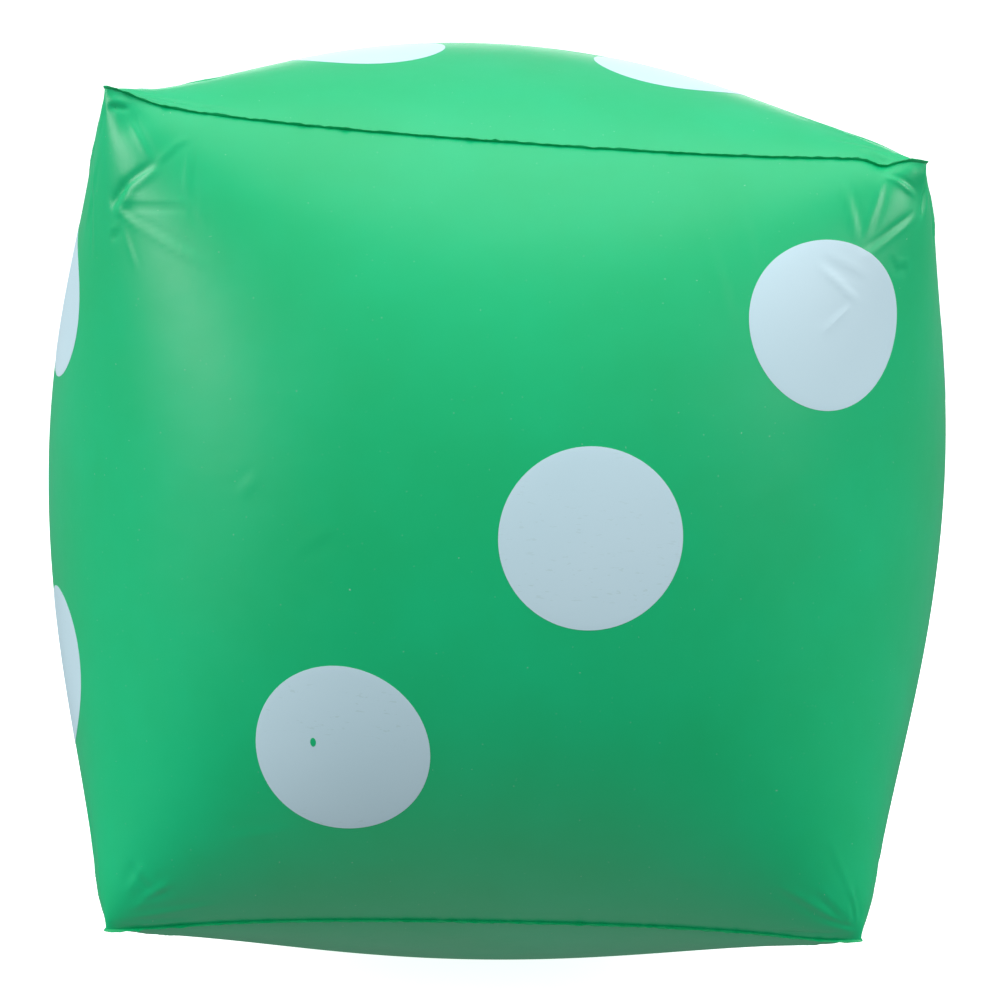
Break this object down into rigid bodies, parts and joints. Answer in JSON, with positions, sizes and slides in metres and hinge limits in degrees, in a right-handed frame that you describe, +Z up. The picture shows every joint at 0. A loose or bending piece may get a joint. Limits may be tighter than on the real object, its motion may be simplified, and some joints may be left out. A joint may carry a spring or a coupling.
{
  "type": "inflatable yard dice",
  "caption": "Large inflatable film die with printed round pips, welded seams and a push-in air valve, for lawn games.",
  "frame": {"origin": "middle of the patch of film that the die rests on, straight below its centre", "axes": "+Z up, -Y out of the face with three pips, +X out of the face with two pips, the valve on +Y"},
  "size_m": [0.4602, 0.4625, 0.4579],
  "materials": {
    "green_film": "satin, soft vinyl",
    "weld": "satin, pressed",
    "pip_ink": "satin print",
    "clear_vinyl": "translucent soft vinyl"
  },
  "bodies": {
    "skin": {"side_band": "green_film", "top_panel": "green_film", "bottom_panel": "green_film", "top_weld": "weld", "bottom_weld": "weld", "band_lap": "weld", "pip_one": "pip_ink", "pips_two": "pip_ink", "pips_three": "pip_ink", "pips_four": "pip_ink", "pips_five": "pip_ink", "pips_six": "pip_ink", "valve_flange": "clear_vinyl", "valve_sleeve": "clear_vinyl"},
    "stem": {"valve_stem": "clear_vinyl", "plug_tether": "clear_vinyl"},
    "flap": {"check_flap": "clear_vinyl"},
    "plug": {"valve_plug": "clear_vinyl"}
  },
  "joints": [
    {"name": "stem_slide", "type": "slide", "parent": "skin", "child": "stem", "axis": [0, 1, 0], "range_m": [0, 0.012], "deforming": ["valve_sleeve"]},
    {"name": "plug_hinge", "type": "hinge", "parent": "stem", "child": "plug", "pos_m": [0, 0.23125, 0.22085], "axis": [-1, 0, 0], "range_deg": [0, 120], "deforming": ["plug_tether"]},
    {"name": "flap_hinge", "type": "hinge", "parent": "stem", "child": "flap", "pos_m": [0, 0.2177, 0.23345], "axis": [-1, 0, 0], "range_deg": [0, 60], "stiffness_Nm_per_rad": 0.00002}
  ]
}
